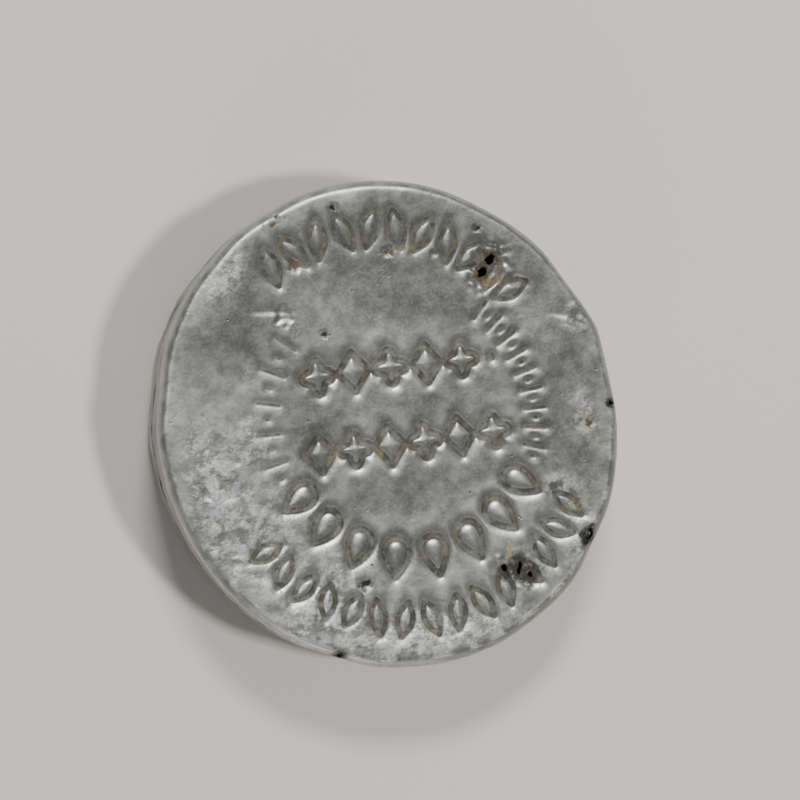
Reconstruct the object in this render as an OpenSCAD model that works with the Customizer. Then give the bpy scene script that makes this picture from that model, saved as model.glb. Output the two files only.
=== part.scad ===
// Round pressed-aluminium tin: a slip-on lid over a shallow base pan,
// with a paper slip and a folded paper packet of rolled rubber goods inside.
// Millimetres. The origin is the centre of the base's underside, +Z is up.

/* [Tin] */
// Outer diameter of the lid, and of the base below it
tin_d = 58; // [54:1:70]
// Height of the closed tin
tin_h = 16; // [15.5:0.5:22]
// Thickness of the aluminium sheet
sheet_t = 0.4; // [0.3:0.05:0.5]

/* [Lid] */
// Height of the lid, from its rim to its flat top
lid_h = 9; // [7:0.5:10]
// Radius of the shoulder between the lid's top and its skirt
lid_shoulder_r = 1.3; // [1:0.05:1.3]
// Radial clearance between the lid's skirt and the base's neck
slip_gap = 0.1; // [0.05:0.05:0.2]

/* [Base] */
// Radius of the corner between the base's foot and its wall
base_corner_r = 2; // [1:0.1:3]
// Diameter of the raised panel in the base's bottom
panel_d = 44; // [30:1:46]
// Height that the panel is raised by
panel_rise = 0.8; // [0.4:0.1:1]
// Outer radius of the curled edge around the base's mouth
curl_r = 0.8; // [0.6:0.1:1]

/* [Packet] */
// Diameter of the folded paper wrapper
packet_d = 46; // [42:1:48]
// Height of the folded paper wrapper
packet_h = 8.6; // [8.4:0.1:9]
// Thickness of the folded paper
wrapper_t = 0.25; // [0.15:0.05:0.3]
// Diameter of the gummed seal over the wrapper's pleats
seal_d = 15; // [12:1:20]
// Diameter of the round paper slip that lies on the packet
slip_d = 51; // [46:1:52]
// Thickness of the slip and of the seal
slip_t = 0.2; // [0.15:0.05:0.25]

/* [Rubber rolls] */
// Outer diameter of one rolled rim
roll_d = 41; // [34:1:41]
// Thickness of the rubber film inside the rim
film_t = 0.2; // [0.15:0.05:0.3]

/* [Hidden] */
$fn = 128;

arc_steps = 10;          // straight pieces in each rounded stretch of a profile
roll_count = 3;
rest_gap = 0.1;          // gap left between loose pieces that lie on each other
roll_gap = 0.03;         // gap above and below each roll, which the wrapper holds
gather_r = 2.5;          // hole where the wrapper's pleats meet, under the seal
wrapper_corner_r = 1.6;
curl_end_angle = 240;    // how far round the mouth's edge is curled

tin_r = tin_d / 2;
rim_z = tin_h - lid_h;                          // underside of the lid's rim
shoulder_z = rim_z - rest_gap;                  // top of the base's shoulder
neck_r = tin_r - sheet_t - slip_gap;            // outside of the base's neck
neck_top_z = tin_h - sheet_t - rest_gap;        // top of the curled edge
packet_z = panel_rise + sheet_t + rest_gap;     // underside of the wrapper
seal_z = packet_z + packet_h;
slip_z = seal_z + slip_t + rest_gap;
roll_room = packet_h - 2 * wrapper_t - roll_gap;         // height that the rolls share
roll_pitch = roll_room / roll_count;
roll_t = roll_pitch - roll_gap;                          // thickness of one rolled rim
roll_z = packet_z + wrapper_t + roll_gap + roll_t / 2;   // middle of the lowest roll

// Points of an arc about a centre, from one angle to another.
function arc(centre, r, from, to) = [
    for (i = [0 : arc_steps])
        let (a = from + (to - from) * i / arc_steps)
            centre + r * [cos(a), sin(a)]
];

// Unit normal on the left of the way from a to b.
function left_of(a, b) =
    let (d = (b - a) / norm(b - a)) [-d.y, d.x];

// A path moved to its left by t, with mitred corners.
function shifted(path, t) =
    let (last = len(path) - 1) [
        for (i = [0 : last])
            let (
                before = left_of(path[max(i - 1, 0)], path[max(i, 1)]),
                after = left_of(path[min(i, last - 1)], path[min(i + 1, last)])
            )
                path[i] + t * (before + after) / (1 + before * after)
    ];

// A round sheet part. The path is its outer face, with the sheet on the path's left.
module round_sheet(path, t) {
    inner = shifted(path, t);
    last = len(inner) - 1;
    rotate_extrude()
        polygon(concat(path, [for (i = [last : -1 : 0]) inner[i]]));
}

module base_pan() {
    curl_centre = [neck_r - curl_r, neck_top_z - curl_r];
    color([0.62, 0.63, 0.62])
        round_sheet(concat(
            [
                [0, panel_rise],
                [panel_d / 2, panel_rise],
                [panel_d / 2 + panel_rise, 0]
            ],
            arc([tin_r - base_corner_r, base_corner_r], base_corner_r, -90, 0),
            [
                [tin_r, shoulder_z - (tin_r - neck_r)],
                [neck_r, shoulder_z]
            ],
            arc(curl_centre, curl_r, 0, curl_end_angle)
        ), sheet_t);
}

module lid() {
    color([0.68, 0.69, 0.68])
        round_sheet(concat(
            [[tin_r, rim_z]],
            arc([tin_r - lid_shoulder_r, tin_h - lid_shoulder_r], lid_shoulder_r, 0, 90),
            [[0, tin_h]]
        ), sheet_t);
}

module paper_slip() {
    color([0.80, 0.72, 0.55])
        translate([0, 0, slip_z])
            cylinder(d = slip_d, h = slip_t);
}

module paper_wrapper() {
    side_r = packet_d / 2;
    corner = wrapper_corner_r;
    color([0.76, 0.67, 0.48])
        translate([0, 0, packet_z])
            round_sheet(concat(
                [[0, 0]],
                arc([side_r - corner, corner], corner, -90, 0),
                arc([side_r - corner, packet_h - corner], corner, 0, 90),
                [[gather_r, packet_h]]
            ), wrapper_t);
}

module wrapper_seal() {
    color([0.55, 0.20, 0.14])
        translate([0, 0, seal_z])
            cylinder(d = seal_d, h = slip_t);
}

// One rubber sheath rolled up to its rim, counted from the bottom of the packet.
module rubber_roll(index) {
    rim_r = (roll_d - roll_t) / 2;
    color([0.72, 0.60, 0.38])
        translate([0, 0, roll_z + index * roll_pitch]) {
            rotate_extrude()
                translate([rim_r, 0])
                    circle(d = roll_t, $fn = 48);
            translate([0, 0, -film_t / 2])
                cylinder(r = rim_r, h = film_t);
        }
}

base_pan();
lid();
paper_slip();
paper_wrapper();
wrapper_seal();
for (i = [0 : roll_count - 1])
    rubber_roll(i);
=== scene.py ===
"""Looks of a small round aluminium tin: a worn, stamped lid, its base pan, and the paper goods inside.

Shapes are worked out in millimetres, in the CAD frame, and turned into metres when a mesh is made.
"""

import math

import bpy
import numpy as np
from mathutils import Matrix, Vector


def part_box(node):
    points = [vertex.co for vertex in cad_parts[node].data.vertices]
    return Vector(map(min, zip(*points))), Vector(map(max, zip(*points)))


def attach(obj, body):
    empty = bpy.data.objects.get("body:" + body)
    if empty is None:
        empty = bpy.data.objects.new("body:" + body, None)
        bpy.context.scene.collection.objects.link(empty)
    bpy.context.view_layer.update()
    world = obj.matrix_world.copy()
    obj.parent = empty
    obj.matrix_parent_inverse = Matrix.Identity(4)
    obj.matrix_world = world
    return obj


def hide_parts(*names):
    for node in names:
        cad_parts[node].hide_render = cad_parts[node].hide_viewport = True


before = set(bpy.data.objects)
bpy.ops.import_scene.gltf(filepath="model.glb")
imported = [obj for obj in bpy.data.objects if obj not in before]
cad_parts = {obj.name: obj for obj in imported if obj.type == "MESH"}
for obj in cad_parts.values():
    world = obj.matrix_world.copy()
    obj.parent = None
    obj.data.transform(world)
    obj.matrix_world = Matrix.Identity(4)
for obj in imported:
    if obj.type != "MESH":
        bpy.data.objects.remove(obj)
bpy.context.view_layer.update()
MM = 0.001


def cad_box_mm(node):
    """A CAD node's lowest and highest corner in millimetres."""
    low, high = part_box(node)
    return np.array(low) / MM, np.array(high) / MM


# ---------------------------------------------------------------- sizes

SHEET_T = 0.4                                   # thickness of the aluminium, as in the CAD
SHOULDER_R = 1.3                                # radius of the lid's shoulder, as in the CAD
LID_LOW, LID_HIGH = cad_box_mm("lid")
BASE_TOP = cad_box_mm("base_pan")[1][2]
PACKET_LOW, PACKET_HIGH = cad_box_mm("paper_wrapper")
SLIP_LOW, SLIP_HIGH = cad_box_mm("paper_slip")
SEAL_LOW, SEAL_HIGH = cad_box_mm("wrapper_seal")
TIN_R = LID_HIGH[0]
TIN_H = LID_HIGH[2]
RIM_Z = LID_LOW[2]

# ---------------------------------------------------------------- smooth maths on arrays


def smooth_step(x):
    x = np.clip(x, 0, 1)
    return x * x * (3 - 2 * x)


def ripple(x, y, size, seed, count=14):
    """A smooth random field of about -1 to 1, whose bumps are about size across."""
    rng = np.random.default_rng(seed)
    total = np.zeros_like(x)
    for _ in range(count):
        angle = rng.uniform(0, 2 * math.pi)
        k = 2 * math.pi / size * rng.uniform(0.55, 1.5)
        phase = rng.uniform(0, 2 * math.pi)
        total += np.cos(k * (x * math.cos(angle) + y * math.sin(angle)) + phase)
    return total / math.sqrt(count)


def angle_gap(a, b):
    """Signed difference of two angles in degrees, from -180 to 180."""
    return (a - b + 180) % 360 - 180


def turned_about(x, y, cx, cy, turn):
    """How far points lie from a place, along a direction turned by turn degrees and across it."""
    t = math.radians(turn)
    return (
        (x - cx) * math.cos(t) + (y - cy) * math.sin(t),
        (y - cy) * math.cos(t) - (x - cx) * math.sin(t),
    )


def blob(x, y, spot):
    """1 in the middle of an oval spot and 0 outside it, with a wavering edge."""
    cx, cy, rx, ry, turn = spot
    u, v = turned_about(x, y, cx, cy, turn)
    far = np.hypot(u / rx, v / ry)
    near = far < 2
    out = np.zeros_like(x)
    waver = ripple(x[near], y[near], 0.8 * (rx + ry), int(100 * rx + 10 * abs(cx) + abs(cy)))
    out[near] = smooth_step(1.5 - far[near] * (1 + 0.22 * waver))
    return out


# ---------------------------------------------------------------- how the tin is out of round

OVAL_SHARE = 0.028          # the tin is pressed oval by this share of its radius
OVAL_ANGLE = 104            # direction of the oval's long axis
# Places where the rim is pushed in or out: angle, half width in degrees, millimetres
RIM_DENTS = [
    (3, 10, -0.35), (17, 4, 0.18), (31, 8, -0.38), (58, 10, -0.22), (112, 6, -0.25), (130, 6, -0.15),
    (165, 7, -0.28), (174, 5, 0.12), (249, 6, -0.25), (258, 5, 0.10), (287, 10, 0.15),
    (310, 8, 0.22), (322, 6, -0.28), (346, 8, -0.15),
]


def out_of_round(points):
    """Moves points of the round tin to where the dented, slightly oval tin has them."""
    x, y = points[:, 0], points[:, 1]
    angle = np.degrees(np.arctan2(y, x))
    near_rim = (np.hypot(x, y) / TIN_R) ** 5
    local = np.zeros_like(x)
    for at, width, push in RIM_DENTS:
        local += push * np.exp(-(angle_gap(angle, at) / width) ** 2)
    share = OVAL_SHARE * np.cos(np.radians(2 * (angle - OVAL_ANGLE))) + near_rim * local / TIN_R
    moved = points.copy()
    moved[:, :2] *= (1 + share)[:, None]
    return moved


# Shallow dents in the tin's top: middle x, y, radius across, radius along, turn, depth
TOP_DENTS = [
    (24.5, 3.5, 4.0, 5.5, 10, 0.34), (25.0, -8.0, 3.0, 4.5, -15, 0.22), (19.5, 12.5, 4.0, 3.0, 40, 0.16),
    (-23.5, 2.0, 3.5, 6.0, 0, 0.20), (-20.5, -12.0, 4.5, 3.5, 35, 0.24), (-14.0, 19.5, 5.0, 3.0, 35, 0.16),
    (-6.0, -24.5, 5.0, 2.2, 12, 0.20), (8.0, -24.8, 4.5, 2.0, -15, 0.18), (4.0, 24.5, 6.0, 2.4, -8, 0.16),
    (-4.0, -10.5, 6.0, 3.0, 5, 0.14), (6.0, 12.0, 7.0, 3.5, -10, 0.15), (-16.5, 9.0, 3.0, 3.0, 0, 0.14),
    (12.0, -8.5, 5.0, 3.0, 20, 0.10),
]


DISH_R, DISH_DEPTH = 26.0, 1.0      # the stamped panel is pressed into a shallow dish


def top_press(x, y):
    """How far the tin's worn top lies below the flat top of a new one."""
    down = 0.10 + 0.10 * ripple(x, y, 16, 3) + 0.026 * ripple(x, y, 6.5, 4) + 0.005 * ripple(x, y, 2.6, 5)
    inward = 1 - (x * x + y * y) / DISH_R ** 2
    down = down + DISH_DEPTH * 0.5 * (inward + np.sqrt(inward * inward + 0.01))
    for cx, cy, rx, ry, turn, depth in TOP_DENTS:
        u, v = turned_about(x, y, cx, cy, turn)
        down = down + depth * np.exp(-((u / rx) * (u / rx) + (v / ry) * (v / ry)))
    return np.maximum(down, 0.0)


def near_top(z):
    """1 near the tin's top and 0 on its walls."""
    return smooth_step((z - (TIN_H - 3.0)) / 2.0)


# ---------------------------------------------------------------- stamped ornament

ARC_STEPS = 9


def bow(start, end, bulge):
    """Points of a curve from start to end that swells sideways by bulge in its middle."""
    (x0, y0), (x1, y1) = start, end
    length = math.hypot(x1 - x0, y1 - y0)
    nx, ny = (y1 - y0) / length, -(x1 - x0) / length
    line = []
    for i in range(ARC_STEPS + 1):
        t = i / ARC_STEPS
        out = bulge * math.sin(math.pi * t)
        line.append((x0 + t * (x1 - x0) + out * nx, y0 + t * (y1 - y0) + out * ny))
    return line


def leaf():
    """An almond outline, one unit high."""
    return [bow((0, -0.5), (0, 0.5), 0.21), bow((0, 0.5), (0, -0.5), 0.21)]


def lozenge():
    """A diamond, one unit high."""
    return [[(0, 0.5), (0.4, 0), (0, -0.5), (-0.4, 0), (0, 0.5)]]


def blossom():
    """A four-lobed outline."""
    line = []
    for i in range(4 * ARC_STEPS + 1):
        a = 2 * math.pi * i / (4 * ARC_STEPS)
        r = 0.345 + 0.095 * math.cos(4 * a)
        line.append((r * math.cos(a), r * math.sin(a)))
    return [line]


def petal():
    """A drop outline, round below and pointed above."""
    line = []
    for i in range(3 * ARC_STEPS + 1):
        a = 2 * math.pi * i / (3 * ARC_STEPS)
        line.append((0.40 * math.sin(a) * math.sin(a / 2), 0.5 * math.cos(a)))
    return [line]


def seed():
    """One short stroke."""
    return [[(0, -0.5), (0, 0.5)]]


def bead():
    """A dot."""
    return [[(0, -0.05), (0, 0.05)]]


def row(motifs, middle, pitch, height, **stamp):
    """Marks side by side on a straight line along X."""
    first = middle[0] - pitch * (len(motifs) - 1) / 2
    return [
        {"motif": m, "at": (first + i * pitch, middle[1]), "turn": 0, "height": height, **stamp}
        for i, m in enumerate(motifs)
    ]


def ring(motifs, middle, radius, start, end, height, lean=0, **stamp):
    """Marks spread along an arc, their tops away from its centre, leaning to one side and the other."""
    made = []
    for i, m in enumerate(motifs):
        angle = start + (end - start) * i / (len(motifs) - 1)
        a = math.radians(angle)
        at = (middle[0] + radius * math.cos(a), middle[1] + radius * math.sin(a))
        tilt = lean if i % 2 else -lean
        made.append({"motif": m, "at": at, "turn": angle - 90 + tilt, "height": height, **stamp})
    return made


MARKS = (
    row([blossom, lozenge, blossom, lozenge, blossom], (0.9, 6.7), 4.5, 4.7, width=0.60, depth=0.40)
    + row([lozenge, blossom, lozenge, blossom, lozenge, blossom], (1.7, -2.6), 4.4, 4.7, width=0.60, depth=0.42)
    + row([bead], (13.8, 6.6), 0, 3.0, width=0.6, depth=0.34)
    + ring([leaf] * 11, (-0.4, 1.3), 22.0, 121, 37, 4.8, lean=16, width=0.40, depth=0.28)
    + ring([petal] * 8, (1.6, 0.2), 16.4, 209, 325, 4.7, width=0.60, depth=0.40)
    + ring([leaf] * 15, (1.0, -0.6), 22.8, 215, 328, 4.3, lean=14, width=0.44, depth=0.32)
    + ring([seed, bead] * 5, (1.6, 0.2), 17.0, 140, 198, 2.9, width=0.26, depth=0.19)
    + ring([seed, bead] * 9, (1.6, 0.2), 16.7, 47, -23, 2.6, width=0.26, depth=0.26)
)
WALL = 0.30                 # half the width over which a groove's side slopes
DRAW = 0.6                  # how far round a mark the sheet is drawn down
DRAW_SHARE = 0.38           # share of the groove's depth by which it is drawn down
SOIL_REACH = 0.27           # how far beyond a stroke's edge dirt lies in the groove
SOIL_FADE = 0.30            # width over which that dirt thins out
SOILED_DEPTH = 0.34         # a groove this deep, or deeper, is fully dirty
BRIGHT_LIP_AT = 0.45              # how far beyond a stroke's edge the sheet is worn bright and painted lighter, partly as a painted highlight
BRIGHT_LIP_WIDTH = 0.20


def distance_to_lines(x, y, lines):
    """Distance from each point to the nearest of several polylines."""
    best = np.full(x.shape, 1e9)
    for line in lines:
        for (x0, y0), (x1, y1) in zip(line, line[1:]):
            dx, dy = x1 - x0, y1 - y0
            t = np.clip(((x - x0) * dx + (y - y0) * dy) / max(dx * dx + dy * dy, 1e-12), 0, 1)
            best = np.minimum(best, np.hypot(x - x0 - t * dx, y - y0 - t * dy))
    return best


def placed(mark):
    """A mark's strokes where they are on the lid."""
    t = math.radians(mark["turn"])
    c, s, h = math.cos(t), math.sin(t), mark["height"]
    (cx, cy) = mark["at"]
    return [
        [(cx + h * (px * c - py * s), cy + h * (px * s + py * c)) for px, py in line]
        for line in mark["motif"]()
    ]


def stamped(x, y):
    """How far the stamped marks lie below the lid's top, how much of a groove's floor each point is, and how much of
    the worn lip beside a groove, which is painted lighter, partly as a painted highlight."""
    down, draw, floor, edge = (np.zeros_like(x) for _ in range(4))
    for mark in MARKS:
        reach = mark["height"] * 0.6 + 2.5 * DRAW
        near = np.hypot(x - mark["at"][0], y - mark["at"][1]) < reach
        far = distance_to_lines(x[near], y[near], placed(mark)) - mark["width"] / 2
        groove = smooth_step((WALL - far) / (2 * WALL))
        down[near] = np.maximum(down[near], mark["depth"] * groove)
        draw[near] = np.maximum(draw[near], mark["depth"] * np.exp(-(np.maximum(far, 0) / DRAW) ** 2))
        soiled = smooth_step((SOIL_REACH - far) / SOIL_FADE) * min(1, mark["depth"] / SOILED_DEPTH)
        floor[near] = np.maximum(floor[near], soiled)
        edge[near] = np.maximum(edge[near], np.exp(-((far - BRIGHT_LIP_AT) / BRIGHT_LIP_WIDTH) ** 2))
    return down * (1 - DRAW_SHARE) + draw * DRAW_SHARE, floor, edge


# ---------------------------------------------------------------- corrosion and stains on the lid

BROWN = (0.075, 0.050, 0.028)
RED_BROWN = (0.10, 0.045, 0.03)
OCHRE = (0.23, 0.18, 0.085)
SOOT = (0.012, 0.011, 0.010)
SMUDGE = (0.045, 0.045, 0.040)
# Stains: x, y, half width, half length, turn, strength, colour
STAINS = [
    (15.1, 18.6, 1.0, 0.9, 40, 0.80, BROWN), (13.6, 16.6, 1.0, 0.9, 40, 0.80, BROWN),
    (14.9, 15.9, 1.5, 0.8, 10, 0.45, OCHRE), (12.9, -19.6, 2.9, 1.9, 10, 0.70, (0.035, 0.035, 0.025)),
    (18.3, 15.4, 1.2, 0.7, -30, 0.50, BROWN),
    (24.9, -3.3, 0.45, 0.7, 10, 0.95, BROWN),
    (24.7, -3.6, 1.0, 2.4, 8, 0.40, OCHRE), (27.9, -1.3, 0.30, 0.35, 0, 1.0, SOOT),
    (22.2, -16.8, 0.9, 1.2, -37, 1.0, SOOT), (-10.3, -26.8, 1.1, 0.5, 21, 0.85, BROWN),
    (-9.9, 12.6, 0.45, 1.3, -22, 0.55, BROWN), (0.9, 17.5, 1.35, 1.45, 0, 0.42, SMUDGE),
    (2.5, 20.3, 0.8, 0.6, 0, 0.70, BROWN), (4.6, 20.6, 1.6, 0.5, 0, 0.35, OCHRE),
    (-10.6, 25.6, 1.0, 0.6, 30, 0.75, BROWN), (-9.0, 19.9, 0.5, 0.6, 20, 0.70, RED_BROWN),
    (-6.0, -18.7, 1.0, 0.5, 25, 0.95, SOOT), (-6.5, 11.5, 0.5, 0.45, 0, 0.8, SOOT),
    (12.0, -17.0, 0.45, 1.2, -12, 0.65, OCHRE), (21.2, -12.8, 1.6, 0.8, 20, 0.45, OCHRE),
    (16.9, -12.2, 1.0, 0.6, 0, 0.20, OCHRE), (-3.3, 26.1, 0.6, 0.5, 0, 0.85, SOOT),
    (13.7, 22.3, 0.5, 0.4, 0, 0.8, SOOT), (-2.0, -3.4, 0.8, 0.9, 0, 0.45, OCHRE),
    (17.2, 21.6, 3.2, 1.4, -38, 0.20, BROWN),
    (-7.6, -3.2, 0.9, 0.9, 0, 0.35, OCHRE), (8.4, 7.0, 0.6, 1.0, 0, 0.4, BROWN),
    (4.0, -2.0, 0.5, 1.2, -20, 0.30, OCHRE), (-12.6, 8.5, 0.4, 0.8, 10, 0.35, BROWN),
]
# Pits eaten into the sheet: x, y, radius, depth
PITS = [
    (24.9, -3.3, 0.55, 0.22), (-6.0, -18.7, 0.7, 0.22), (-6.5, 11.5, 0.4, 0.15), (2.4, 20.3, 0.6, 0.16),
    (-9.0, 19.9, 0.6, 0.15), (-3.3, 26.1, 0.45, 0.18), (13.7, 22.3, 0.4, 0.16), (18.3, 15.4, 0.8, 0.16),
    (-11.0, 14.4, 0.9, 0.16), (7.9, 19.6, 0.4, 0.10), (-16.5, -14.0, 0.5, 0.10), (16.6, 9.3, 0.35, 0.12),
]
# Short sharp creases: x, y, half length, turn, and how far the sheet drops on their far side
CREASES = [
    (-12.7, 14.8, 1.9, -8, 0.17), (-24.5, -6.1, 0.7, -30, 0.12), (-21.6, -6.8, 1.0, 10, 0.12),
    (-18.6, -17.0, 1.0, -35, 0.13), (-15.6, -20.5, 1.1, -30, 0.13), (-21.1, -13.8, 0.8, 0, 0.10),
    (-14.4, -23.5, 1.0, -15, 0.11), (-11.8, -18.6, 0.6, 0, 0.10), (25.0, 9.4, 1.0, -40, 0.14),
    (23.0, 10.5, 1.3, -20, 0.10), (1.0, 24.9, 1.2, 5, 0.08), (-19.8, -2.6, 0.8, 15, 0.08),
]
# Holes rusted through or torn: x, y, half width, half length, turn
HOLES = [
    (15.0, 18.4, 0.58, 0.78, -40), (13.8, 16.9, 0.50, 0.80, -50),
    (11.1, -18.9, 0.34, 0.45, 0), (13.0, -19.1, 0.28, 0.80, -20), (14.1, -20.1, 0.30, 0.36, 10),
]
# Notches in the shoulder, which are cut from above: x, y, half width, half length, turn
NOTCHES = [(28.3, -1.2, 0.50, 0.40, 0), (22.2, -16.8, 0.6, 0.85, -37), (-10.2, -26.9, 0.55, 0.32, 21)]
# Regions with a white oxide, some of which are painted highlights: the bottom rim, the kink at the right and the left
# edge
BLOOMS_AND_HIGHLIGHTS = [
    (-19.5, -11.5, 8.0, 6.0, 30), (-23.5, -3.0, 3.6, 7.0, 0), (-11.5, -20.5, 7.5, 4.5, 35),
    (0.0, -25.5, 13.0, 4.2, 0), (-17.5, 19.5, 4.0, 1.8, 45), (24.6, -2.6, 1.9, 3.6, 5),
    (25.0, 10.6, 1.0, 2.0, -30),
    (-17.5, 0.0, 2.2, 3.0, 0), (22.0, -17.0, 4.0, 3.0, 40), (25.2, 9.2, 1.4, 1.6, 60), (19.6, -10.7, 2.6, 1.6, 0),
]
# Regions rubbed smooth and painted darker, as painted shade for the dark room that smooth metal reflects
RUBBED_AND_SHADED = [
    (4.0, -8.8, 11.0, 4.4, 5), (2.5, 2.0, 13.0, 2.6, 3), (22.0, 5.5, 4.5, 6.5, 10),
    (22.0, -8.0, 3.5, 4.0, 0), (5.0, 13.5, 11.0, 4.0, -8), (-10.0, -1.0, 3.0, 9.0, 0),
    (-3.0, -15.0, 5.0, 2.0, 0), (20.5, 0.0, 5.0, 14.0, 0), (-17.0, 13.0, 6.0, 6.0, 0), (18.0, 19.0, 4.0, 4.0, 0),
    (-4.0, 22.0, 14.0, 5.0, 8), (12.0, 19.0, 9.0, 5.0, -35),
]


def wide(x, y, spots):
    """Soft, wide regions, adding up to at most 1."""
    total = np.zeros_like(x)
    for cx, cy, rx, ry, turn in spots:
        u, v = turned_about(x, y, cx, cy, turn)
        total += np.exp(-((u / rx) * (u / rx) + (v / ry) * (v / ry)))
    return np.minimum(total, 1)


def creased(x, y):
    """How far the sheet lies down beyond short sharp creases."""
    down = np.zeros_like(x)
    for cx, cy, half, turn, drop in CREASES:
        u, v = turned_about(x, y, cx, cy, turn)
        down += drop * smooth_step(0.5 + v / 0.55) * np.exp(-(u / half) ** 2 - (np.maximum(v, 0) / 1.6) ** 2)
    return down


def pitted(x, y):
    """How far the pits lie below the surface."""
    down = np.zeros_like(x)
    for cx, cy, r, depth in PITS:
        down = np.maximum(down, depth * blob(x, y, (cx, cy, r, r, 0)))
    return down


def torn(x, y):
    """How far the sheet is crumpled down round a hole."""
    down = np.zeros_like(x)
    for cx, cy, rx, ry, _ in HOLES:
        far = np.hypot(x - cx, y - cy)
        down = np.maximum(down, 0.34 * np.exp(-(far / (rx + ry + 0.5)) ** 2))
    return down * (1 + 0.7 * ripple(x, y, 1.1, 21))


def add_stain(colour, amount, rgb):
    """Puts a stain on the points where it is stronger than the stain that they have."""
    more = amount > colour[:, 3]
    colour[more, :3] = rgb
    colour[more, 3] = amount[more]


def stain_colours(x, y):
    """Colour and strength of the stains at each point."""
    colour = np.zeros((len(x), 4))
    for cx, cy, rx, ry, turn, strength, rgb in STAINS:
        add_stain(colour, strength * blob(x, y, (cx, cy, rx, ry, turn)), rgb)
    return colour


def painted_side_shade(x, y):
    """How far the wall is darkened as painted shade, most on the side that stands in shadow."""
    return 0.30 * np.exp(-(angle_gap(np.degrees(np.arctan2(y, x)), 195) / 60) ** 2)


# ---------------------------------------------------------------- meshes


def arc_rows(centre_r, centre_z, radius, start, end, steps):
    """Rows of a profile along an arc, as (r, z)."""
    rows = []
    for i in range(steps + 1):
        a = math.radians(start + (end - start) * i / steps)
        rows.append((centre_r + radius * math.cos(a), centre_z + radius * math.sin(a)))
    return rows


def line_rows(start, end, steps):
    """Rows of a profile along a straight line, without its ends."""
    return [
        (start[0] + (end[0] - start[0]) * i / steps, start[1] + (end[1] - start[1]) * i / steps)
        for i in range(1, steps)
    ]


def disc_points(radius, z, rings):
    """A flat disc's points but for its edge: its middle, then rings of 6, 12, 18 and so on."""
    points = [np.array([[0.0, 0.0, z]])]
    for k in range(1, rings):
        a = np.arange(6 * k) * (2 * math.pi / (6 * k))
        r = radius * k / rings
        points.append(np.stack([r * np.cos(a), r * np.sin(a), np.full_like(a, z)], axis=1))
    return np.concatenate(points)


def disc_faces(rings, first, edge):
    """The triangles of disc_points, whose points start at first, and whose edge row starts at edge."""
    faces = []
    start = [first] + [first + 1 + 3 * k * (k - 1) for k in range(1, rings)] + [edge]
    for k in range(1, rings + 1):
        inner_n, outer_n = max(6 * (k - 1), 1), 6 * k
        for side in range(6):
            j = np.arange(k)
            outer_a = start[k] + (side * k + j) % outer_n
            outer_b = start[k] + (side * k + j + 1) % outer_n
            inner_a = start[k - 1] + (side * (k - 1) + j) % inner_n
            faces.append(np.stack([inner_a, outer_a, outer_b], axis=1))
            inner_b = start[k - 1] + (side * (k - 1) + j + 1) % inner_n
            faces.append(np.stack([inner_a, outer_b, inner_b], axis=1)[:-1])
    return np.concatenate(faces)


def shell_of_revolution(outer_rows, inner_rows, outer_n, inner_n):
    """A closed shell: a disc, its outer rows, its inner rows and a disc again. The inner rows may have
    half as many points as the outer ones. Returns the points and the faces, as triangles."""
    outer_rings, inner_rings = outer_n // 6, inner_n // 6
    points = [disc_points(outer_rows[0][0], outer_rows[0][1], outer_rings)]
    count = len(points[0])
    starts = []
    for n, rows in ((outer_n, outer_rows), (inner_n, inner_rows)):
        a = np.arange(n) * (2 * math.pi / n)
        for r, z in rows:
            starts.append((count, n))
            points.append(np.stack([r * np.cos(a), r * np.sin(a), np.full_like(a, z)], axis=1))
            count += n
    inner_disc = count
    points.append(disc_points(inner_rows[-1][0], inner_rows[-1][1], inner_rings))
    faces = [disc_faces(outer_rings, 0, starts[0][0])]
    for (a0, an), (b0, bn) in zip(starts, starts[1:]):
        j = np.arange(an)
        a1, a2 = a0 + j, a0 + (j + 1) % an
        if an == bn:
            b1, b2 = b0 + j, b0 + (j + 1) % bn
            faces += [np.stack([a1, b1, b2], axis=1), np.stack([a1, b2, a2], axis=1)]
        else:
            b1, b2 = b0 + j // 2, b0 + ((j + 1) // 2) % bn
            faces.append(np.stack([a1, b1, a2], axis=1))
            odd = j % 2 == 1
            faces.append(np.stack([a2, b1, b2], axis=1)[odd])
    faces.append(disc_faces(inner_rings, inner_disc, starts[-1][0])[:, ::-1])
    return np.concatenate(points), np.concatenate(faces)


def set_floats(obj, name, values):
    attribute = obj.data.attributes.new(name, "FLOAT", "POINT")
    attribute.data.foreach_set("value", values.astype(np.float32))


def set_colours(obj, name, values):
    attribute = obj.data.attributes.new(name, "FLOAT_COLOR", "POINT")
    attribute.data.foreach_set("color", values.astype(np.float32).ravel())


def signed_volume(points, faces):
    a, b, c = (points[faces[:, i]] for i in range(3))
    return float((a * np.cross(b, c)).sum() / 6)


def new_mesh(name, points, faces):
    """A smooth-shaded mesh object from points in millimetres, its faces turned outwards."""
    if faces.shape[1] == 3 and signed_volume(points, faces) < 0:
        faces = faces[:, ::-1]
    mesh = bpy.data.meshes.new(name)
    mesh.vertices.add(len(points))
    mesh.vertices.foreach_set("co", (points * MM).astype(np.float32).ravel())
    sides = faces.shape[1]
    mesh.loops.add(faces.size)
    mesh.loops.foreach_set("vertex_index", faces.astype(np.int32).ravel())
    mesh.polygons.add(len(faces))
    mesh.polygons.foreach_set("loop_start", np.arange(len(faces), dtype=np.int32) * sides)
    mesh.update(calc_edges=True)
    mesh.validate()
    mesh.shade_smooth()
    made = bpy.data.objects.new(name, mesh)
    bpy.context.scene.collection.objects.link(made)
    return made


def points_of(obj):
    """A mesh's points in millimetres."""
    co = np.zeros(len(obj.data.vertices) * 3, np.float32)
    obj.data.vertices.foreach_get("co", co)
    return co.reshape(-1, 3).astype(float) / MM


def set_points(obj, points):
    obj.data.vertices.foreach_set("co", (points * MM).astype(np.float32).ravel())
    obj.data.update()


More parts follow.
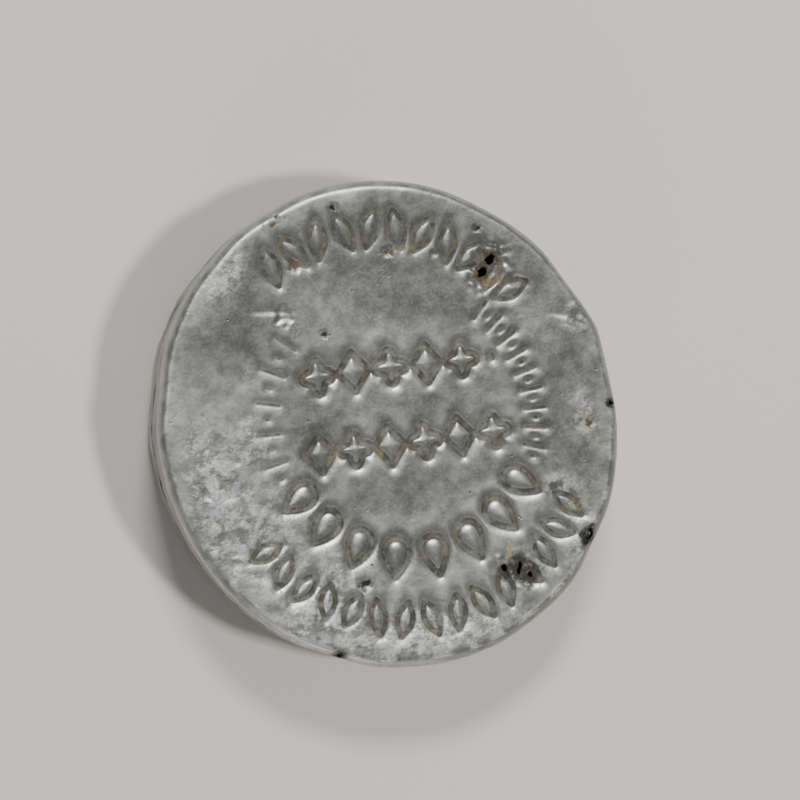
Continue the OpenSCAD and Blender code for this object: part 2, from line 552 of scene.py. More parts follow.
def apply_modifiers(obj):
    """Makes a mesh what its modifiers show."""
    graph = bpy.context.evaluated_depsgraph_get()
    made = bpy.data.meshes.new_from_object(obj.evaluated_get(graph))
    old = obj.data
    obj.modifiers.clear()
    obj.data = made
    bpy.data.meshes.remove(old)


def ragged_post(spot, low, high, seed_number):
    """A closed upright post with a ragged oval outline, to cut a torn hole with."""
    cx, cy, rx, ry, turn = spot
    rng = np.random.default_rng(seed_number)
    n = 13
    t = math.radians(turn)
    outline = []
    for i in range(n):
        a = 2 * math.pi * (i + rng.uniform(-0.3, 0.3)) / n
        r = rng.uniform(0.72, 1.18)
        u, v = rx * r * math.cos(a), ry * r * math.sin(a)
        outline.append((cx + u * math.cos(t) - v * math.sin(t), cy + u * math.sin(t) + v * math.cos(t)))
    points = [(x, y, low) for x, y in outline] + [(x, y, high) for x, y in outline]
    points += [(cx, cy, low), (cx, cy, high)]
    faces = []
    for i in range(n):
        j = (i + 1) % n
        faces += [(i, j, n + j), (i, n + j, n + i), (2 * n, j, i), (2 * n + 1, n + i, n + j)]
    return np.array(points), np.array(faces)


def cut_holes(obj, spots, low, high):
    """Cuts ragged holes through a piece."""
    points, faces, count = [], [], 0
    for i, spot in enumerate(spots):
        p, f = ragged_post(spot, low, high, 40 + i)
        points.append(p)
        faces.append(f + count)
        count += len(p)
    cutter = new_mesh("cutter", np.concatenate(points), np.concatenate(faces))
    modifier = obj.modifiers.new("holes", "BOOLEAN")
    modifier.operation = "DIFFERENCE"
    modifier.solver = "MANIFOLD"
    modifier.object = cutter
    apply_modifiers(obj)
    mesh = cutter.data
    bpy.data.objects.remove(cutter)
    bpy.data.meshes.remove(mesh)


# ---------------------------------------------------------------- the lid

LID_AROUND = 792            # points round the lid's outside; half as many inside
BASE_AROUND = 252


def make_lid():
    flat_r = TIN_R - SHOULDER_R
    shoulder_z = TIN_H - SHOULDER_R
    inner_r = TIN_R - SHEET_T
    outer = (
        arc_rows(flat_r, shoulder_z, SHOULDER_R, 90, 0, 8)
        + line_rows((TIN_R, shoulder_z), (TIN_R, RIM_Z + 0.15), 13)
        + arc_rows(TIN_R - 0.15, RIM_Z + 0.15, 0.15, 0, -90, 2)
    )
    inner = (
        arc_rows(inner_r + 0.1, RIM_Z + 0.1, 0.1, 270, 180, 2)
        + line_rows((inner_r, RIM_Z + 0.1), (inner_r, shoulder_z), 8)
        + arc_rows(flat_r, shoulder_z, SHOULDER_R - SHEET_T, 0, 90, 5)
    )
    points, faces = shell_of_revolution(outer, inner, LID_AROUND, LID_AROUND // 2)
    lid = new_mesh("lid_shell", points, faces)
    cut_holes(lid, HOLES, TIN_H - 1, TIN_H + 1)
    cut_holes(lid, NOTCHES, TIN_H - 1.9, TIN_H + 1)

    points = points_of(lid)
    x, y, z = points.T
    on_top = near_top(z)
    marks, groove, edge = stamped(x, y)
    tear = torn(x, y)
    down = top_press(x, y) + marks + creased(x, y) + pitted(x, y) + tear
    angle = np.arctan2(y, x)
    scuffed = 0.05 * ripple(TIN_R * angle, z, 5.0, 31) + 0.02 * ripple(TIN_R * angle, z, 1.8, 32)
    moved = points.copy()
    moved[:, 2] -= on_top * down
    moved[:, :2] *= (1 + (1 - on_top) * scuffed / TIN_R)[:, None]
    set_points(lid, out_of_round(moved))

    outside = np.where(z > TIN_H - SHEET_T / 2, 1.0, smooth_step((np.hypot(x, y) - TIN_R + 0.3) / 0.2))
    colour = stain_colours(x, y)
    colour[:, 3] *= on_top * np.maximum(outside, 0.4)
    holes = wide(x, y, [(cx, cy, 1.3 * rx + 0.35, 1.3 * ry + 0.35, turn) for cx, cy, rx, ry, turn in HOLES + NOTCHES])
    set_colours(lid, "stain", colour)
    # a dark line along the lid's lower edge, and painted shade on the wall's shaded side
    seam_and_side_shade = np.maximum(0.45 * np.exp(-((z - RIM_Z) / 0.7) ** 2), painted_side_shade(x, y))
    set_floats(lid, "soil", on_top * np.maximum(groove, holes) + (1 - on_top) * outside * seam_and_side_shade)
    # lips beside the grooves, worn and painted lighter, partly as a painted highlight
    set_floats(lid, "edge", on_top * outside * edge * (1 - groove))
    # the shoulder is painted white as a painted highlight, strongest along its lower side
    painted_rim_highlight = (0.62 - 0.33 * np.sin(angle)) * smooth_step((np.hypot(x, y) - flat_r + 0.3) / 0.8)
    bloom_and_highlight = np.maximum(wide(x, y, BLOOMS_AND_HIGHLIGHTS), painted_rim_highlight)
    set_floats(lid, "bloom_and_highlight", on_top * outside * bloom_and_highlight + 0.35 * (1 - on_top) * outside)
    set_floats(lid, "rubbed", on_top * outside * wide(x, y, RUBBED_AND_SHADED))
    set_floats(lid, "wall", 1 - on_top)
    return lid


# ---------------------------------------------------------------- the base pan

PANEL_R, PANEL_RISE = 22.0, 0.8
BASE_CORNER_R = 2.0
CURL_R = 0.8
# Stains on the bottom: x, y, size, strength, colour
BOTTOM_STAINS = [
    (-9, 6, 5.0, 0.30, OCHRE), (11, -9, 6.0, 0.26, BROWN), (3, 14, 3.0, 0.28, BROWN),
    (-14, -12, 3.5, 0.26, BROWN),
]


def make_base():
    neck_r = TIN_R - SHEET_T - 0.1
    shoulder_z = RIM_Z - 0.1
    wall_top = shoulder_z - (TIN_R - neck_r)
    curl_r, curl_z = neck_r - CURL_R, BASE_TOP - CURL_R
    inner_wall, inner_neck = TIN_R - SHEET_T, neck_r - SHEET_T
    outer = (
        [(PANEL_R, PANEL_RISE)]
        + line_rows((PANEL_R, PANEL_RISE), (PANEL_R + PANEL_RISE, 0), 3)
        + [(PANEL_R + PANEL_RISE, 0.0), (24.2, 0.0), (25.6, 0.0)]
        + arc_rows(TIN_R - BASE_CORNER_R, BASE_CORNER_R, BASE_CORNER_R, -90, 0, 9)
        + line_rows((TIN_R, BASE_CORNER_R), (TIN_R, wall_top), 6)
        + [(TIN_R, wall_top)]
        + line_rows((TIN_R, wall_top), (neck_r, shoulder_z), 3)
        + [(neck_r, shoulder_z)]
        + line_rows((neck_r, shoulder_z), (neck_r, curl_z), 12)
        + arc_rows(curl_r, curl_z, CURL_R, 0, 240, 16)
    )
    inner = (
        arc_rows(curl_r, curl_z, CURL_R - SHEET_T, 240, 0, 12)
        + line_rows((inner_neck, curl_z), (inner_neck, shoulder_z - 0.15), 10)
        + [(inner_neck, shoulder_z - 0.15), (inner_wall, wall_top - 0.15)]
        + line_rows((inner_wall, wall_top - 0.15), (inner_wall, BASE_CORNER_R), 5)
        + arc_rows(TIN_R - BASE_CORNER_R, BASE_CORNER_R, BASE_CORNER_R - SHEET_T, 0, -90, 8)
        + [(25.6, SHEET_T), (24.2, SHEET_T), (PANEL_R + PANEL_RISE + 0.17, SHEET_T)]
        + line_rows((PANEL_R + PANEL_RISE + 0.17, SHEET_T), (PANEL_R + 0.17, PANEL_RISE + SHEET_T), 3)
        + [(PANEL_R + 0.17, PANEL_RISE + SHEET_T)]
    )
    points, faces = shell_of_revolution(outer, inner, BASE_AROUND, BASE_AROUND)
    x, y, z = points.T
    r, angle = np.hypot(x, y), np.arctan2(y, x)
    on_top = near_top(z) * smooth_step((r - 24) / 2)
    moved = points.copy()
    moved[:, 2] -= on_top * top_press(x, y)
    low = smooth_step((wall_top + 0.5 - z) / 1.0)
    scuffed = 0.06 * ripple(TIN_R * angle, z, 6.0, 33) + 0.02 * ripple(TIN_R * angle, z, 2.0, 34)
    moved[:, :2] *= (1 + low * smooth_step((r - 26) / 2) * scuffed / TIN_R)[:, None]
    panel = smooth_step((PANEL_R - r) / 4)
    moved[:, 2] += panel * (0.10 + 0.12 * ripple(x, y, 14, 35) + 0.03 * ripple(x, y, 4, 36))
    base = new_mesh("base_shell", out_of_round(moved), faces)

    corner = np.exp(-((r - 27.2) / 1.0) ** 2) * (z < 3)
    step = np.exp(-((z - wall_top - 0.2) / 0.35) ** 2) * (r > 28.2)
    stains = np.zeros((len(x), 4))
    at_mouth = smooth_step((z - BASE_TOP + 2.0) / 1.6)
    # the base's mouth is blackened under each notch of the lid, where it shows through
    for cx, cy, rx, ry, turn in NOTCHES:
        add_stain(stains, blob(x, y, (cx, cy, rx + 0.9, ry + 0.9, turn)) * at_mouth, SOOT)
    for cx, cy, size, strength, rgb in BOTTOM_STAINS:
        add_stain(stains, strength * blob(x, y, (cx, cy, size, 0.8 * size, 30)) * (z < 3), rgb)
    set_colours(base, "stain", stains)
    wall = smooth_step((r - 27.5) / 1.0)
    # the soil here also carries painted shade on the wall's shaded side
    set_floats(base, "soil", np.maximum(np.maximum(0.75 * corner, 0.8 * step), wall * painted_side_shade(x, y)))
    set_floats(base, "edge", 0.7 * np.exp(-((r - PANEL_R - 0.4) / 0.5) ** 2) * (z < 0.9))
    set_floats(base, "bloom_and_highlight", np.clip(0.35 + 0.35 * ripple(x, y, 9, 37), 0, 1))
    set_floats(base, "rubbed", np.clip(0.3 * ripple(x, y, 12, 38), 0, 1))
    set_floats(base, "wall", wall)
    return base


# ---------------------------------------------------------------- paper pieces

PAPER_T = 0.15


def make_slip():
    """A round of thin paper that lies cockled on the packet."""
    radius = SLIP_HIGH[0]
    low = SLIP_LOW[2] + 0.05
    n = 360
    outer = [(radius, low + PAPER_T), (radius + 0.03, low + PAPER_T * 0.5)]
    inner = [(radius, low)]
    points, faces = shell_of_revolution(outer, inner, n, n)
    x, y = points[:, 0], points[:, 1]
    r, angle = np.hypot(x, y) / radius, np.arctan2(y, x)
    curl = 0.75 * (1 + np.cos(2 * angle + 0.7)) + 0.35 * (1 + np.sin(5 * angle + 2))
    lift = curl * r ** 4 + 0.16 * (1 + ripple(x, y, 13, 51)) + 0.03 * (1 + ripple(x, y, 3.5, 52))
    crease = np.exp(-(np.abs(x * 0.42 + y * 0.91 - 4.0) / 0.35) ** 1.3)
    moved = points.copy()
    moved[:, 2] += np.maximum(lift + 0.22 * crease * r, 0.0)
    moved[:, :2] *= (1 + 0.004 * ripple(10 * np.cos(angle), 10 * np.sin(angle), 3.0, 53))[:, None]
    slip = new_mesh("paper_slip_sheet", moved, faces)
    set_floats(slip, "soil", np.clip(1.25 * (r - 0.8) / 0.2, 0, 1) * 0.6 + 0.25 * crease)
    set_floats(slip, "rust", wide(x, y, [(cx, cy, 2.0, 2.0, 0) for cx, cy, *_ in HOLES]))
    set_floats(slip, "ghost", np.exp(-((r * radius - 19.2) / 1.1) ** 2))
    return slip


PLEATS = 30
PLEAT_STEPS = (7, 4)        # points up the face of a pleat, and back under its fold


def packet_rows():
    """The packet's profile: r, z, outward direction, how far the pleats are formed, how far they
    overlap and how high they stand."""
    corner = 1.8
    wall_r = PACKET_HIGH[0] - 0.35
    low, high = PACKET_LOW[2], PACKET_HIGH[2] - 0.5
    rows = []
    for r in np.linspace(2.0, wall_r - corner, 8):
        rows.append((r, low, 0, -1, 0, 0, 0))
    for i in range(1, 6):
        a = math.radians(-90 + 90 * i / 5)
        rows.append((wall_r - corner * (1 - math.cos(a)), low + corner * (1 + math.sin(a)),
                     math.cos(a), math.sin(a), 0, 0, 0))
    side = np.linspace(low + corner, high - corner, 9)
    for i, z in enumerate(side[1:]):
        formed = smooth_step(np.array((i + 1) / 5.0)).item()
        rows.append((wall_r, z, 1, 0, formed, 0.12 * formed, 0.26 * formed))
    for i in range(1, 7):
        a = math.radians(90 * i / 6)
        rows.append((wall_r - corner * (1 - math.cos(a)), high - corner * (1 - math.sin(a)),
                     math.cos(a), math.sin(a), 1, 0.12 + 0.02 * i, 0.26 + 0.015 * i))
    for r in np.linspace(wall_r - corner, 2.0, 26)[1:]:
        inward = (wall_r - corner - r) / (wall_r - corner)
        sag = 0.95 * smooth_step(np.array((17.5 - r) / 8)).item()
        rows.append((r, high - sag, 0, 1, 1, 0.25 + 0.65 * inward, 0.35 + 0.05 * inward))
    return rows


def make_wrapper():
    """A round of waxed paper folded up round the goods, its surplus laid in overlapping pleats."""
    rng = np.random.default_rng(61)
    up, back = PLEAT_STEPS
    edges = np.arange(PLEATS + 1) + np.concatenate([[0], rng.uniform(-0.16, 0.16, PLEATS - 1), [0]])
    overlap_share = rng.uniform(0.75, 1.25, PLEATS)
    height_share = rng.uniform(0.7, 1.15, PLEATS)
    plain, folded, lift = [], [], []
    for i in range(PLEATS):
        wide_by = edges[i + 1] - edges[i]
        for j in range(up + back):
            u = j / (up + back)
            plain.append((edges[i] + wide_by * u, 0))
            if j < up:
                t = j / up
                folded.append((edges[i] + wide_by * t, t * overlap_share[i]))
                lift.append(t * height_share[i])
            else:
                t = (j - up) / back
                folded.append((edges[i + 1], (1 - t) * overlap_share[i]))
                lift.append((1 - t) * height_share[i])
    plain, folded, lift = np.array(plain), np.array(folded), np.array(lift)
    unit = 2 * math.pi / PLEATS
    points = []
    for r, z, out_r, out_z, formed, overlap, height in packet_rows():
        turn = plain[:, 0] * (1 - formed) + formed * (folded[:, 0] + folded[:, 1] * overlap)
        swirl = 0.5 * smooth_step(np.array((20 - r) / 18)).item() * formed if out_z > 0.5 else 0
        a = unit * turn + swirl
        up_by = formed * height * lift
        rr = r + out_r * up_by
        crumple = 0.10 * ripple(rr * np.cos(a), rr * np.sin(a) + z, 5.0, 62) * (0.25 + formed)
        x = (rr + out_r * crumple) * np.cos(a)
        y = (rr + out_r * crumple) * np.sin(a)
        points.append(np.stack([x, y, z + out_z * (up_by + 0.5 * crumple * (out_z > 0))], axis=1))
    n = PLEATS * (up + back)
    count = len(points)
    points = np.concatenate(points)
    faces = []
    for k in range(count - 1):
        j = np.arange(n)
        a1, a2 = k * n + j, k * n + (j + 1) % n
        faces.append(np.stack([a1, a2, a2 + n, a1 + n], axis=1))
    middle = len(points)
    points = np.concatenate([points, [[0, 0, PACKET_LOW[2]]]])
    j = np.arange(n)
    faces.append(np.stack([np.full(n, middle), (j + 1) % n, j, np.full(n, middle)], axis=1))
    quads = np.concatenate(faces)
    triangles = np.concatenate([quads[:, [0, 1, 2]], quads[:-n][:, [0, 2, 3]]])
    wrapper = new_mesh("packet_paper", points, triangles)
    x, y, z = points_of(wrapper).T
    r = np.hypot(x, y)
    set_floats(wrapper, "soil", np.clip(0.35 * ripple(x, y + z, 8, 63), 0, 1) + 0.25 * (r > 21.5))
    set_floats(wrapper, "ghost", np.exp(-((r - 19.2) / 0.9) ** 2))
    thick = wrapper.modifiers.new("thick", "SOLIDIFY")
    thick.thickness = 0.07 * MM
    thick.offset = -1
    apply_modifiers(wrapper)
    return wrapper


def make_seal():
    """A round gummed label with a scalloped edge, stuck over the place where the pleats meet."""
    n, scallops = 288, 24
    radius = SEAL_HIGH[0]
    low = SEAL_LOW[2] - 0.42
    t = 0.14
    outer = [(radius, low + t), (radius + 0.02, low + t / 2)]
    inner = [(radius, low)]
    points, faces = shell_of_revolution(outer, inner, n, n)
    x, y, z = points.T
    r, angle = np.hypot(x, y) / radius, np.arctan2(y, x)
    edge = 1 - 0.055 * np.abs(np.sin(scallops * angle / 2)) ** 0.7
    moved = points.copy()
    moved[:, :2] *= (1 + (edge - 1) * r ** 3)[:, None]
    rays = 0.06 * np.cos(PLEATS * angle + 0.4) * r ** 2
    border = 0.05 * np.exp(-((r - 0.80) / 0.03) ** 2) + 0.05 * np.exp(-((r - 0.62) / 0.02) ** 2)
    moved[:, 2] += 0.32 * (1 - r ** 2) * 0.5 + rays + 0.05 * ripple(x, y, 3.0, 71) - border * (z > low + t * 0.6)
    seal = new_mesh("packet_seal", moved, faces)
    set_floats(seal, "soil", np.clip(0.3 + 0.4 * ripple(x, y, 4, 72), 0, 1))
    set_floats(seal, "ghost", np.clip(8 * border, 0, 1))
    return seal


# ---------------------------------------------------------------- materials


class Nodes:
    """Short ways to add shader nodes to one material."""

    def __init__(self, name):
        self.material = bpy.data.materials.new(name)
        self.material.use_nodes = True
        self.tree = self.material.node_tree
        self.tree.nodes.clear()
        self.shader = self.tree.nodes.new("ShaderNodeBsdfPrincipled")
        output = self.tree.nodes.new("ShaderNodeOutputMaterial")
        self.tree.links.new(self.shader.outputs["BSDF"], output.inputs["Surface"])
        self.place = self.tree.nodes.new("ShaderNodeTexCoord").outputs["Object"]

    def put(self, socket, value):
        if isinstance(value, bpy.types.NodeSocket):
            self.tree.links.new(value, socket)
        elif value is not None:
            socket.default_value = value

    def stretched(self, scale, turn=(0, 0, 0)):
        """The place, in millimetres, turned and then scaled by scale."""
        node = self.tree.nodes.new("ShaderNodeMapping")
        node.vector_type = "TEXTURE"
        node.inputs["Rotation"].default_value = tuple(math.radians(a) for a in turn)
        node.inputs["Scale"].default_value = tuple(MM / s for s in scale)
        self.put(node.inputs["Vector"], self.place)
        return node.outputs["Vector"]

    def noise(self, size, detail=4.0, rough=0.55, at=None, turn=(0, 0, 0)):
        """Noise whose bumps are about size millimetres across, or size is three such numbers."""
        sizes = size if hasattr(size, "__len__") else (size,) * 3
        node = self.tree.nodes.new("ShaderNodeTexNoise")
        node.inputs["Scale"].default_value = 1.0
        node.inputs["Detail"].default_value = detail
        node.inputs["Roughness"].default_value = rough
        self.put(node.inputs["Vector"], at or self.stretched([1 / s for s in sizes], turn))
        return node.outputs["Fac"]

    def specks(self, size, randomness=1.0):
        """Distance to the middle of scattered cells of that size."""
        node = self.tree.nodes.new("ShaderNodeTexVoronoi")
        node.inputs["Scale"].default_value = 1.0
        node.inputs["Randomness"].default_value = randomness
        self.put(node.inputs["Vector"], self.stretched([1 / size] * 3))
        return node.outputs["Distance"]

    def ramp(self, value, low, high, to_low=0.0, to_high=1.0):
        """value taken from low..high to to_low..to_high, smoothly."""
        node = self.tree.nodes.new("ShaderNodeMapRange")
        node.interpolation_type = "SMOOTHSTEP"
        for i, v in enumerate((value, low, high, to_low, to_high)):
            self.put(node.inputs[i], v)
        return node.outputs["Result"]

    def math(self, operation, a, b=None):
        node = self.tree.nodes.new("ShaderNodeMath")
        node.operation = operation
        node.use_clamp = operation in ("ADD", "MULTIPLY")
        self.put(node.inputs[0], a)
        self.put(node.inputs[1], b)
        return node.outputs["Value"]

    def mix(self, factor, a, b):
        """Colour a where factor is 0 and b where it is 1."""
        node = self.tree.nodes.new("ShaderNodeMix")
        node.data_type = "RGBA"
        self.put(node.inputs["Factor"], factor)
        for socket, value in ((node.inputs["A"], a), (node.inputs["B"], b)):
            sockets = [s for s in node.inputs if s.name == socket.name and s.type == "RGBA"]
            self.put(sockets[0], value if isinstance(value, bpy.types.NodeSocket) else (*value, 1.0))
        return [s for s in node.outputs if s.type == "RGBA"][0]

    def times(self, a, b):
        return self.math("MULTIPLY", a, b)

    def mask(self, name, output="Fac"):
        """A mask that is stored on the mesh."""
        node = self.tree.nodes.new("ShaderNodeAttribute")
        node.attribute_name = name
        return node.outputs[output]

    def bump(self, height, strength, distance_mm, normal=None):
        node = self.tree.nodes.new("ShaderNodeBump")
        node.inputs["Strength"].default_value = strength
        node.inputs["Distance"].default_value = distance_mm * MM
        self.put(node.inputs["Height"], height)
        self.put(node.inputs["Normal"], normal)
        return node.outputs["Normal"]

    def finish(self, **sockets):
        for name, value in sockets.items():
            label = name.replace("_", " ").title().replace("Ior", "IOR")
            if isinstance(value, tuple) and len(value) == 3:
                value = (*value, 1.0)
            self.put(self.shader.inputs[label], value)
        return self.material


def aged_aluminium(name):
    """Dull aluminium with a white oxide, rubbed patches, scratches, pits, stains and soil; painted highlights on the
    rim, in white specks and beside the grooves, and painted shade on rubbed patches and one side of the wall.
    """
    n = Nodes(name)
    broad, middle, fine = n.noise(9, 3), n.noise(1.6, 5, 0.6), n.noise(0.35, 4, 0.6)
    # rubbed patches are painted darker: painted shade for the dark reflection of smooth metal
    rubbed = n.times(n.mask("rubbed"), n.ramp(broad, 0.3, 0.6, 0.6, 1.0))
    metal = n.mix(n.ramp(middle, 0.36, 0.64), (0.41, 0.415, 0.395), (0.56, 0.562, 0.542))
    metal = n.mix(n.times(rubbed, 0.85), metal, (0.19, 0.197, 0.182))
    metal = n.mix(n.ramp(n.noise(4.5, 3), 0.48, 0.66, 0.0, 0.45), metal, (0.290, 0.296, 0.280))
    metal = n.mix(n.ramp(broad, 0.45, 0.75, 0.0, 0.3), metal, (0.48, 0.475, 0.50))
    grain = n.ramp(fine, 0.46, 0.64, 0.0, 0.22)
    metal = n.mix(grain, metal, (0.70, 0.70, 0.68))
    drawn = n.noise((14, 14, 0.35), 4, 0.6)
    metal = n.mix(n.times(n.mask("wall"), n.ramp(drawn, 0.35, 0.65, 0.55, 0.9)), metal, (0.42, 0.42, 0.405))

    patchy = n.ramp(n.noise(1.9, 6, 0.64), 0.43, 0.58)
    # white oxide, which on the rim and in some spots is a painted highlight
    bloom_and_highlight = n.times(n.mask("bloom_and_highlight"), n.times(patchy, n.ramp(fine, 0.3, 0.6, 0.4, 1.0)))
    white = n.mix(n.ramp(n.noise(2.6, 3), 0.42, 0.58), (0.50, 0.49, 0.54), (0.66, 0.685, 0.63))
    metal = n.mix(n.times(n.mask("bloom_and_highlight"), 0.5), metal, (0.31, 0.31, 0.30))
    colour = n.mix(n.times(bloom_and_highlight, 0.92), metal, white)
    # bright white specks in the white oxide, painted glints
    painted_glints = n.times(n.ramp(n.noise(1.5, 4, 0.6), 0.55, 0.66), n.ramp(n.noise(3.4, 2), 0.46, 0.60))
    painted_glints = n.times(painted_glints, n.ramp(n.mask("bloom_and_highlight"), 0.35, 0.95))
    colour = n.mix(n.times(painted_glints, 0.9), colour, (0.92, 0.92, 0.90))

    # the lips beside the lid's grooves are painted lighter: partly wear and partly a painted highlight
    edge = n.times(n.mask("edge"), n.ramp(middle, 0.42, 0.62, 0.05, 0.5))
    colour = n.mix(edge, colour, (0.60, 0.60, 0.58))

    caked = n.times(n.ramp(middle, 0.30, 0.60, 0.88, 1.0), n.ramp(n.noise(1.3, 4, 0.65), 0.36, 0.58, 0.76, 1.0))
    # the soil mask also carries painted shade on one side of the wall
    soil = n.times(n.ramp(n.mask("soil"), 0.05, 0.65), caked)
    grime = n.times(n.mask("wall"), n.ramp(n.noise(5, 6, 0.65), 0.44, 0.70, 0.10, 0.55))
    soil = n.math("MAXIMUM", soil, grime)
    dirt = n.mix(n.ramp(n.noise(2.2, 4), 0.46, 0.64), (0.030, 0.029, 0.024), (0.065, 0.055, 0.033))
    colour = n.mix(n.times(soil, 0.97), colour, dirt)

    stain = n.times(n.mask("stain", "Alpha"), n.ramp(n.noise(0.7, 5, 0.7), 0.38, 0.54, 0.25, 1.0))
    stain = n.ramp(stain, 0.04, 0.72)
    colour = n.mix(stain, colour, n.mask("stain", "Color"))
    specks = n.ramp(n.specks(1.7), 0.10, 0.05)
    specks = n.times(specks, n.ramp(n.noise(4.0, 2), 0.48, 0.62))
    colour = n.mix(n.times(specks, 0.7), colour, (0.09, 0.075, 0.06))

    dull = n.math("MAXIMUM", n.math("MAXIMUM", n.times(bloom_and_highlight, 0.55), soil), stain)
    metallic = n.ramp(dull, 0.0, 1.0, 0.95, 0.10)
    rough = n.ramp(middle, 0.3, 0.7, 0.38, 0.48)
    rough = n.math("ADD", rough, n.times(dull, 0.22))
    rough = n.math("SUBTRACT", rough, n.times(rubbed, 0.03))
    rough = n.math("SUBTRACT", rough, n.times(edge, 0.3))

    scratch_a = n.ramp(n.noise((14, 0.22, 3), 2, turn=(0, 0, 24)), 0.60, 0.68)
    scratch_b = n.ramp(n.noise((11, 0.18, 3), 2, turn=(0, 0, -52)), 0.62, 0.70)
    crumple = n.times(n.noise(1.9, 3, 0.5), n.ramp(n.mask("bloom_and_highlight"), 0.0, 1.0, 0.10, 1.0))
    normal = n.bump(n.noise(0.45, 5, 0.62), 0.35, 0.04)
    normal = n.bump(crumple, 0.6, 0.30, normal)
    normal = n.bump(n.times(drawn, n.mask("wall")), 0.4, 0.05, normal)
    scratches = n.times(n.math("ADD", scratch_a, scratch_b), n.ramp(n.noise(3.0, 3), 0.46, 0.62))
    normal = n.bump(scratches, 0.16, -0.02, normal)
    normal = n.bump(n.math("ADD", specks, stain), 0.5, -0.06, normal)
    normal = n.bump(bloom_and_highlight, 0.28, 0.04, normal)
    return n.finish(base_color=colour, metallic=metallic, roughness=rough, normal=normal)


def aged_paper(name, pale, deep, waxed):
    """Paper with fibres, foxing and soiled edges, and the ghost of the round rims under it."""
    n = Nodes(name)
    fibres = n.noise((1.6, 0.18, 0.5), 3, turn=(0, 0, 17))
    cloudy = n.noise(6, 5, 0.6)
    colour = n.mix(n.ramp(cloudy, 0.35, 0.65), pale, deep)
    colour = n.mix(n.ramp(fibres, 0.5, 0.7, 0.0, 0.25), colour, tuple(0.55 * c for c in deep))
    foxing = n.times(n.ramp(n.specks(3.4), 0.26, 0.10), n.ramp(n.noise(5, 2), 0.46, 0.58))
    colour = n.mix(n.times(foxing, 0.6), colour, (0.25, 0.12, 0.045))
    colour = n.mix(n.times(n.mask("soil"), n.ramp(cloudy, 0.3, 0.6, 0.3, 0.8)), colour, (0.22, 0.13, 0.06))
    colour = n.mix(n.times(n.mask("ghost"), 0.22), colour, (0.30, 0.19, 0.09))
    colour = n.mix(n.times(n.mask("rust"), n.ramp(cloudy, 0.3, 0.6, 0.7, 1.0)), colour, (0.055, 0.038, 0.025))
    normal = n.bump(n.noise(0.25, 4, 0.6), 0.25, 0.03)
    normal = n.bump(n.noise(2.2, 4, 0.7), 0.35, 0.12, normal)
    rough = n.ramp(cloudy, 0.3, 0.7, 0.35 if waxed else 0.80, 0.55 if waxed else 0.92)
    return n.finish(
        base_color=colour, roughness=rough, normal=normal,
        coat_weight=0.35 if waxed else 0.0, coat_roughness=0.3,
    )


def gummed_paper(name):
    """Faded dark red label paper, rubbed pale along its pressed lines and creases."""
    n = Nodes(name)
    cloudy = n.noise(3, 5, 0.6)
    colour = n.mix(n.ramp(cloudy, 0.35, 0.7), (0.22, 0.028, 0.022), (0.33, 0.07, 0.045))
    colour = n.mix(n.times(n.mask("ghost"), 0.5), colour, (0.45, 0.22, 0.14))
    worn = n.times(n.mask("soil"), n.ramp(n.noise(0.6, 5, 0.7), 0.5, 0.68))
    colour = n.mix(n.times(worn, 0.7), colour, (0.50, 0.36, 0.24))
    normal = n.bump(n.noise(0.3, 4, 0.6), 0.3, 0.03)
    return n.finish(base_color=colour, roughness=n.ramp(cloudy, 0.3, 0.7, 0.5, 0.7), normal=normal)


def old_rubber(name):
    """Thin amber rubber with a dusting of powder."""
    n = Nodes(name)
    cloudy = n.noise(4, 4)
    colour = n.mix(n.ramp(cloudy, 0.35, 0.65), (0.50, 0.33, 0.15), (0.62, 0.46, 0.26))
    powder = n.ramp(n.noise(0.5, 5, 0.7), 0.52, 0.68)
    colour = n.mix(n.times(powder, 0.6), colour, (0.74, 0.68, 0.56))
    rolled = n.noise((0.25, 0.25, 0.08), 2)
    normal = n.bump(rolled, 0.4, 0.06)
    rough = n.ramp(powder, 0.0, 1.0, 0.45, 0.8)
    return n.finish(base_color=colour, roughness=rough, normal=normal)


def pale_floor(name):
    n = Nodes(name)
    return n.finish(base_color=(0.62, 0.60, 0.575), roughness=0.75)


def dress(obj, material):
    """Gives a piece its material."""
    obj.data.materials.clear()
    obj.data.materials.append(material)


# ---------------------------------------------------------------- camera, light and floor

VIEW_TILT = 9.5             # how far the camera is from straight above, in degrees
VIEW_SIDE = 184             # the side that it is displaced to
VIEW_UP = 82                # direction that is up in the picture
VIEW_FAR = 0.38
VIEW_LENS = 139.5
VIEW_AIM = (0.0020, 0.0027, 0.012)


def direction(azimuth, elevation):
    a, e = math.radians(azimuth), math.radians(elevation)
    return Vector((math.cos(a) * math.cos(e), math.sin(a) * math.cos(e), math.sin(e)))


def make_camera():
    camera = bpy.data.objects.new("camera", bpy.data.cameras.new("camera"))
    bpy.context.scene.collection.objects.link(camera)
    back = direction(VIEW_SIDE, 90 - VIEW_TILT)
    up = direction(VIEW_UP, 0)
    right = up.cross(back).normalized()
    up = back.cross(right)
    turned = Matrix((right, up, back)).transposed().to_4x4()
    camera.matrix_world = Matrix.Translation(Vector(VIEW_AIM) + VIEW_FAR * back) @ turned
    camera.data.lens = VIEW_LENS
    camera.data.sensor_width = 36.0
    camera.data.clip_start = 0.01
    camera.data.clip_end = 10.0
    bpy.context.scene.camera = camera


def make_light(name, azimuth, elevation, far, size, watts, colour=(1, 1, 1)):
    light = bpy.data.lights.new(name, "AREA")
    light.shape = "RECTANGLE"
    light.size, light.size_y = size
    light.energy = watts
    light.color = colour
    lamp = bpy.data.objects.new(name, light)
    bpy.context.scene.collection.objects.link(lamp)
    back = direction(azimuth, elevation)
    lamp.location = back * far
    lamp.rotation_mode = "QUATERNION"
    lamp.rotation_quaternion = (-back).to_track_quat("-Z", "Y")
    return lamp


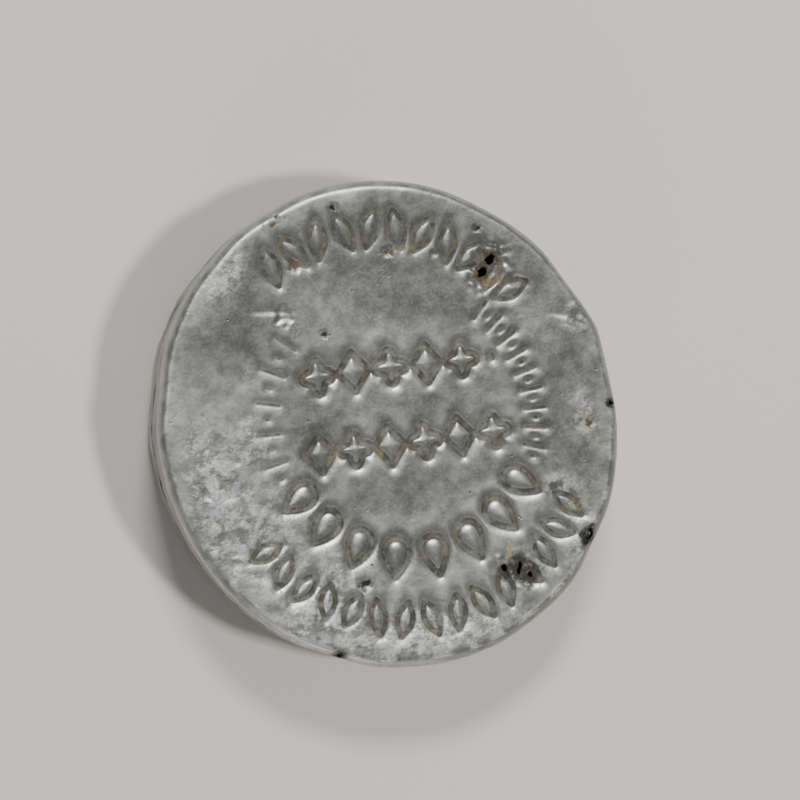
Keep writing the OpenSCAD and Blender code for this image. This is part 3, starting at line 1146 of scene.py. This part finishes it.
def make_stage():
    bpy.ops.mesh.primitive_plane_add(size=4)
    floor = bpy.context.active_object
    floor.name = "floor"
    floor.data.materials.append(pale_floor("pale_floor"))
    world = bpy.data.worlds.new("soft_room")
    world.use_nodes = True
    sky = world.node_tree
    sky.nodes["Background"].inputs["Color"].default_value = (1.0, 0.998, 0.950, 1.0)
    place = sky.nodes.new("ShaderNodeTexCoord")
    height = sky.nodes.new("ShaderNodeSeparateXYZ")
    sky.links.new(place.outputs["Generated"], height.inputs["Vector"])
    fade = sky.nodes.new("ShaderNodeMapRange")          # the room is brightest overhead
    fade.interpolation_type = "SMOOTHSTEP"
    sky.links.new(height.outputs["Z"], fade.inputs["Value"])
    for label, value in (("From Min", 0.0), ("From Max", 0.95), ("To Min", 0.15), ("To Max", 0.20)):
        fade.inputs[label].default_value = value
    sky.links.new(fade.outputs["Result"], sky.nodes["Background"].inputs["Strength"])
    bpy.context.scene.world = world
    key = make_light("key", -24, 66, 0.75, (0.07, 0.07), 4.0, (1.0, 0.97, 0.92))
    key.visible_glossy = False      # the bare metal doesn't glare from it
    make_light("window", 87, 57, 0.7, (0.15, 0.11), 3.2, (0.985, 1.0, 0.97))
    make_light("fill", 254, 24, 0.8, (0.50, 0.30), 1.4, (1.0, 0.99, 0.98))


# ---------------------------------------------------------------- putting it together

make_camera()
make_stage()

lid = make_lid()
base = make_base()
slip = make_slip()
wrapper = make_wrapper()
seal = make_seal()

dress(lid, aged_aluminium("lid_metal"))
dress(base, aged_aluminium("base_metal"))
dress(slip, aged_paper("slip_stock", (0.66, 0.55, 0.37), (0.55, 0.42, 0.25), False))
dress(wrapper, aged_paper("waxed_stock", (0.55, 0.43, 0.25), (0.42, 0.30, 0.15), True))
dress(seal, gummed_paper("seal_stock"))
rubber = old_rubber("amber_rubber")
for number in (1, 2, 3):
    dress(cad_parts[f"rubber_roll_{number}"], rubber)

for piece, body, node in (
    (lid, "lid", "lid"),
    (base, "base", "base_pan"),
    (slip, "slip", "paper_slip"),
    (wrapper, "packet", "paper_wrapper"),
    (seal, "packet", "wrapper_seal"),
):
    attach(piece, body)
    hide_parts(node)
